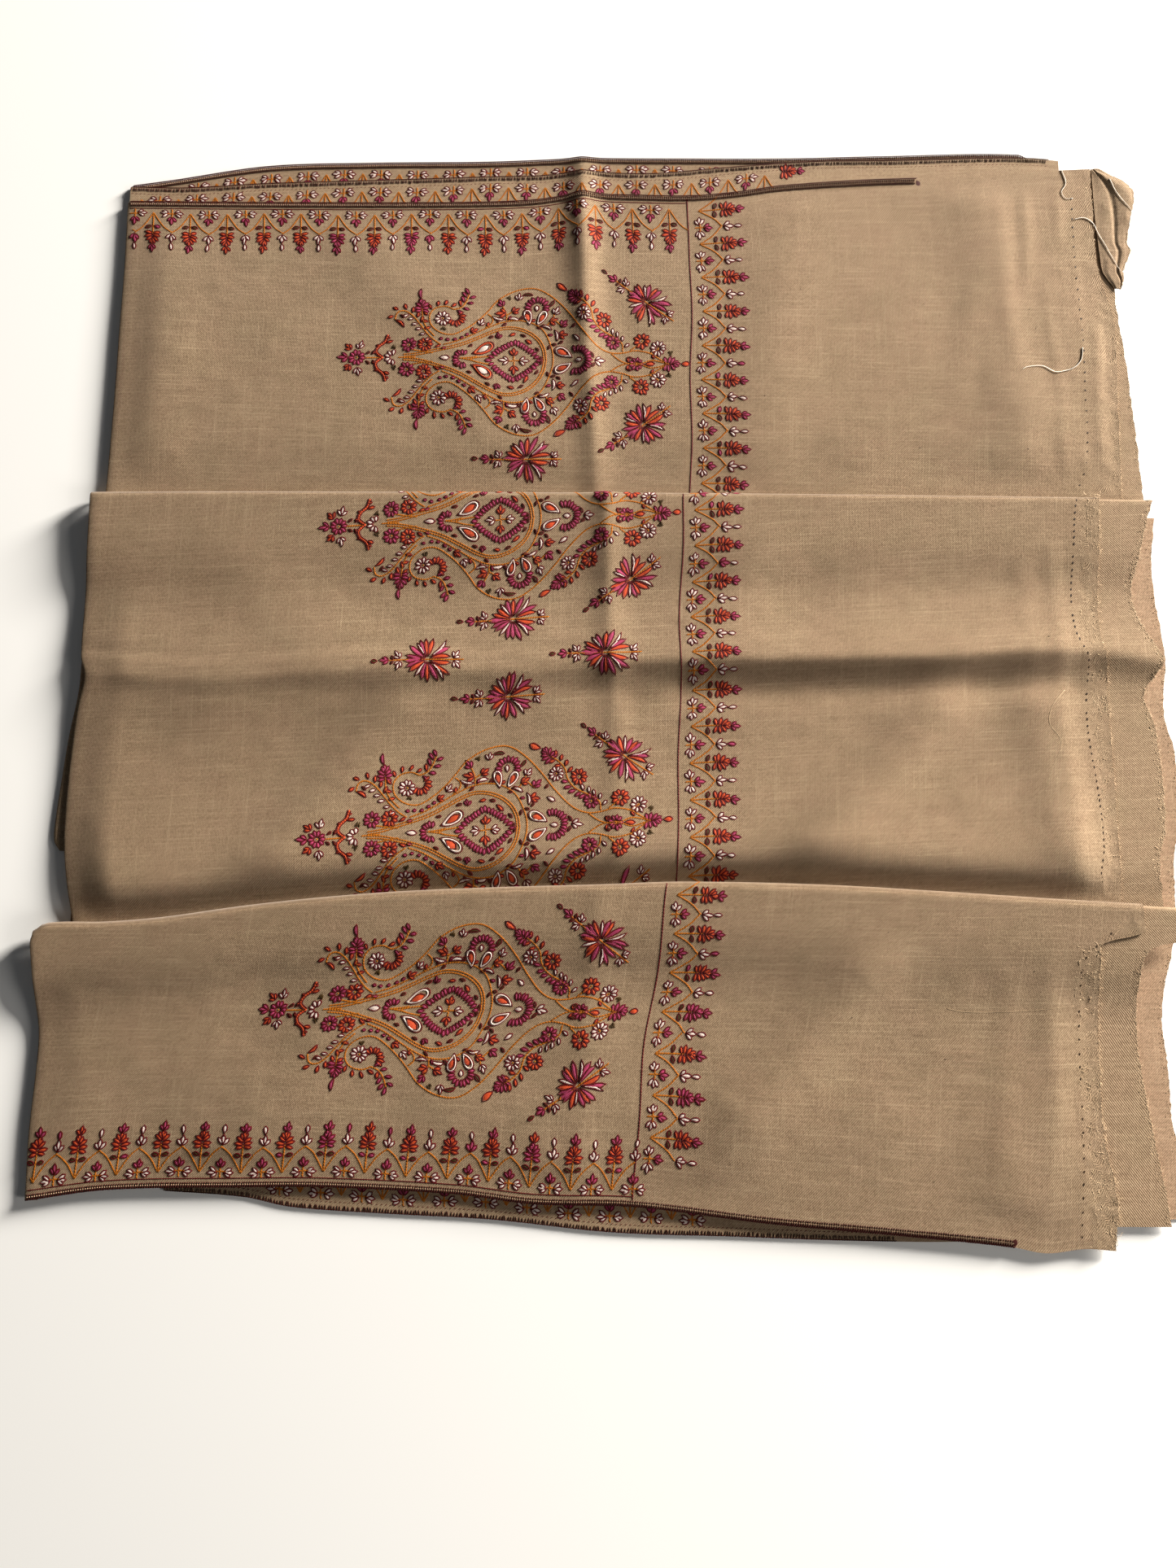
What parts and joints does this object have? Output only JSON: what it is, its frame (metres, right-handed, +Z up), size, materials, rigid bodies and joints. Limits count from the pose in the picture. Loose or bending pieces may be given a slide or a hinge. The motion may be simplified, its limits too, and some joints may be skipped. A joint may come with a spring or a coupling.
{
  "type": "embroidered pashmina shawl, folded and laid flat",
  "caption": "Tan twill shawl folded in plies and pleated into broad stretches, laid flat, with embroidered paisley cones, floral bands and blanket-stitched hems",
  "frame": {"origin": "centre of the bounding box's underside, on the surface the shawl lies on", "axes": "+Z up from the surface; +X toward the raw ends of the cloth, the right of the picture; +Y away from the viewer, toward the far hem"},
  "size_m": [0.8766, 0.8776, 0.016],
  "materials": {
    "twill_face": "soft twill wool, embroidered",
    "twill_wrong_side": "soft twill wool, wrong side",
    "twill_inside": "soft twill wool, inner layers"
  },
  "bodies": {
    "root": {"far_stretch": "twill_face", "middle_stretch": "twill_face", "near_stretch": "twill_face", "hidden_layers": "twill_inside", "far_second_ply_hem": "twill_wrong_side", "far_third_ply_hem": "twill_face", "near_second_ply_hem": "twill_wrong_side", "far_second_ply_end": "twill_wrong_side", "middle_second_ply_end": "twill_wrong_side", "near_second_ply_end": "twill_wrong_side", "middle_third_ply_end": "twill_face", "near_third_ply_end": "twill_face", "turned_corner": "twill_face", "left_back_fold": "twill_wrong_side"}
  },
  "joints": []
}
